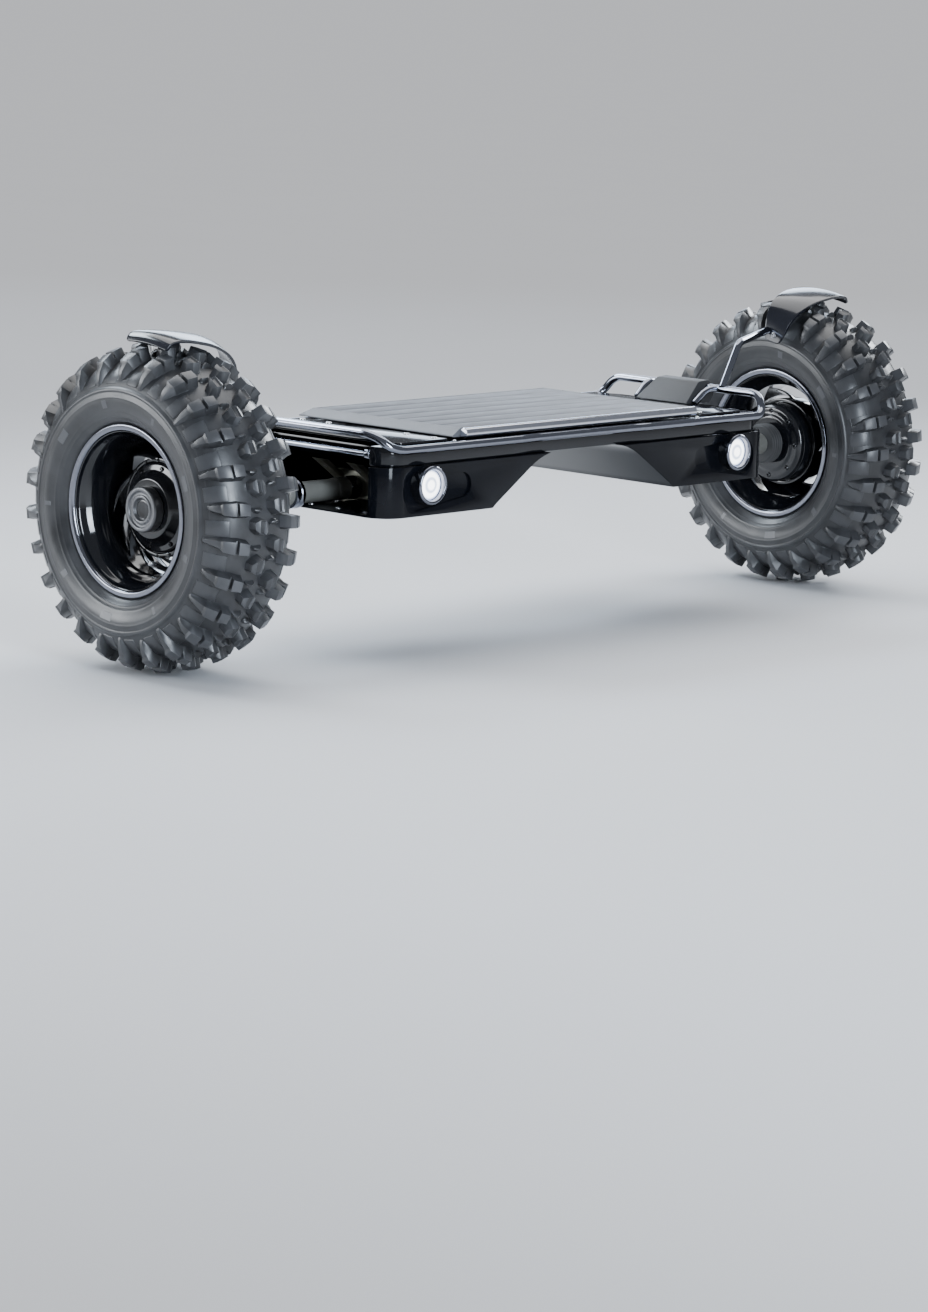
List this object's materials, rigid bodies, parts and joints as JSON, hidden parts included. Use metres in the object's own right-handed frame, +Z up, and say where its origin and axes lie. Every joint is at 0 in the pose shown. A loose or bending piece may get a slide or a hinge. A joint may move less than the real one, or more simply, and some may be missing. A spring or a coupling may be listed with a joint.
{
  "type": "self-balancing board",
  "caption": "Off-road self-balancing board: knobbly hub-motor wheels on one axle line, a low chassis with a sprung slatted deck, headlights, grab hoops and short fenders.",
  "frame": {"origin": "on the ground, midway between the two tyres and under the axle line", "axes": "+X along the axle to the right-hand wheel, -Y to the front where the headlights are, +Z up"},
  "size_m": [1.104, 0.33, 0.342],
  "materials": {
    "tyre_rubber": "moulded rubber, satin",
    "rim_gloss": "gloss black over polished metal",
    "motor_black": "gloss black",
    "cap_grey": "matte grey",
    "bearing_steel": "ground",
    "magnet_steel": "plain",
    "axle_steel": "turned",
    "copper_windings": "enamelled copper",
    "boot_rubber": "matte",
    "sleeve_grey": "matte, cast",
    "knob_gloss": "gloss black",
    "clamp_black": "satin black",
    "yoke_cast": "satin, dark olive grey",
    "fender_gloss": "gloss black",
    "pod_gloss": "gloss black",
    "battery_black": "shrink wrap",
    "light_body": "dark chrome",
    "light_lens": "lit white lens",
    "tube_polished": "black chrome, polished",
    "block_satin": "matte dark grey",
    "plate_gloss": "gloss black",
    "board_green": "solder mask",
    "border_grey": "satin grey",
    "slat_grey": "satin, brushed lengthwise",
    "button_black": "matte",
    "socket_black": "matte",
    "cap_rubber": "matte"
  },
  "bodies": {
    "chassis": {"left_axle_shaft": "axle_steel", "left_stator": "copper_windings", "left_axle_nut": "axle_steel", "left_axle_boot": "boot_rubber", "left_axle_sleeve": "sleeve_grey", "left_axle_knob": "knob_gloss", "left_axle_clamp": "clamp_black", "left_axle_yoke": "yoke_cast", "left_fender": "fender_gloss", "left_pod": "pod_gloss", "left_battery": "battery_black", "left_light_housing": "light_body", "left_light_lens": "light_lens", "left_hoop": "tube_polished", "left_end_rail": "tube_polished", "left_fender_strut": "tube_polished", "right_axle_shaft": "axle_steel", "right_stator": "copper_windings", "right_axle_nut": "axle_steel", "right_axle_boot": "boot_rubber", "right_axle_sleeve": "sleeve_grey", "right_axle_knob": "knob_gloss", "right_axle_clamp": "clamp_black", "right_axle_yoke": "yoke_cast", "right_fender": "fender_gloss", "right_pod": "pod_gloss", "right_battery": "battery_black", "right_light_housing": "light_body", "right_light_lens": "light_lens", "right_hoop": "tube_polished", "right_end_rail": "tube_polished", "right_fender_strut": "tube_polished", "right_handle_block": "block_satin", "chassis_plate": "plate_gloss", "control_board": "board_green", "front_rail": "tube_polished", "rear_rail": "tube_polished", "charge_socket": "socket_black"},
    "left_wheel": {"left_tyre": "tyre_rubber", "left_rim": "rim_gloss", "left_motor_shell": "motor_black", "left_motor_cover": "motor_black", "left_hub_cap": "cap_grey", "left_outer_bearing": "bearing_steel", "left_inner_bearing": "bearing_steel", "left_magnet_ring": "magnet_steel"},
    "right_wheel": {"right_tyre": "tyre_rubber", "right_rim": "rim_gloss", "right_motor_shell": "motor_black", "right_motor_cover": "motor_black", "right_hub_cap": "cap_grey", "right_outer_bearing": "bearing_steel", "right_inner_bearing": "bearing_steel", "right_magnet_ring": "magnet_steel"},
    "deck": {"deck_border": "border_grey", "deck_board": "slat_grey", "deck_front_rail": "tube_polished"},
    "power_button": {"power_button": "button_black"},
    "charge_cap": {"charge_cap": "cap_rubber"}
  },
  "joints": [
    {"name": "left_wheel_spin", "type": "hinge", "parent": "chassis", "child": "left_wheel", "pos_m": [-0.49, 0, 0.165], "axis": [1, 0, 0], "continuous": true},
    {"name": "right_wheel_spin", "type": "hinge", "parent": "chassis", "child": "right_wheel", "pos_m": [0.49, 0, 0.165], "axis": [1, 0, 0], "continuous": true},
    {"name": "deck_press", "type": "slide", "parent": "chassis", "child": "deck", "axis": [0, 0, -1], "range_m": [0, 0.0018], "stiffness_N_per_m": 30000, "springref_m": -0.0015},
    {"name": "power_button_press", "type": "slide", "parent": "chassis", "child": "power_button", "axis": [0, -1, 0], "range_m": [0, 0.0015], "stiffness_N_per_m": 800, "springref_m": -0.001},
    {"name": "charge_cap_swing", "type": "hinge", "parent": "chassis", "child": "charge_cap", "pos_m": [0.25, 0.1262, 0.191], "axis": [1, 0, 0], "range_deg": [0, 110]}
  ]
}
